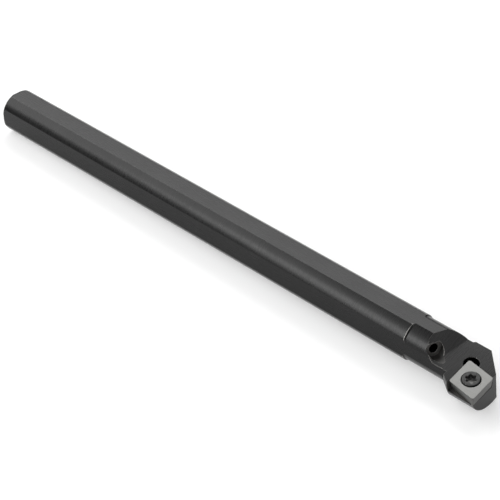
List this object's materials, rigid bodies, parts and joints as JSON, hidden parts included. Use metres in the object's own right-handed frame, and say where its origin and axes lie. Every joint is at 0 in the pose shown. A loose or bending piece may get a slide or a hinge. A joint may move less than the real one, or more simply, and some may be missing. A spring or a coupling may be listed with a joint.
{
  "type": "boring bar",
  "caption": "Right-hand through-coolant boring bar: a slim round steel shank with flats and a relieved neck, ending in a head with a raked seat that holds a screwed-on rhombic carbide insert",
  "frame": {"origin": "Centre of the shank's back end face, which is the mouth of the coolant inlet, on the bar's axis", "axes": "+X runs along the bar's axis from the back end to the cutting head, +Z is square to the top flat, on the side that the insert's top face looks to, and -Y is the side to which the cutting corner stands out"},
  "size_m": [0.14, 0.0121, 0.0103],
  "materials": {
    "blackened_steel": "fine satin machined steel, blackened to a dark grey",
    "carbide": "light grey ground cemented carbide",
    "screw_steel": "dark grey hardened steel"
  },
  "bodies": {
    "root": {"bar": "blackened_steel", "insert": "carbide", "insert_screw": "screw_steel"}
  },
  "joints": []
}
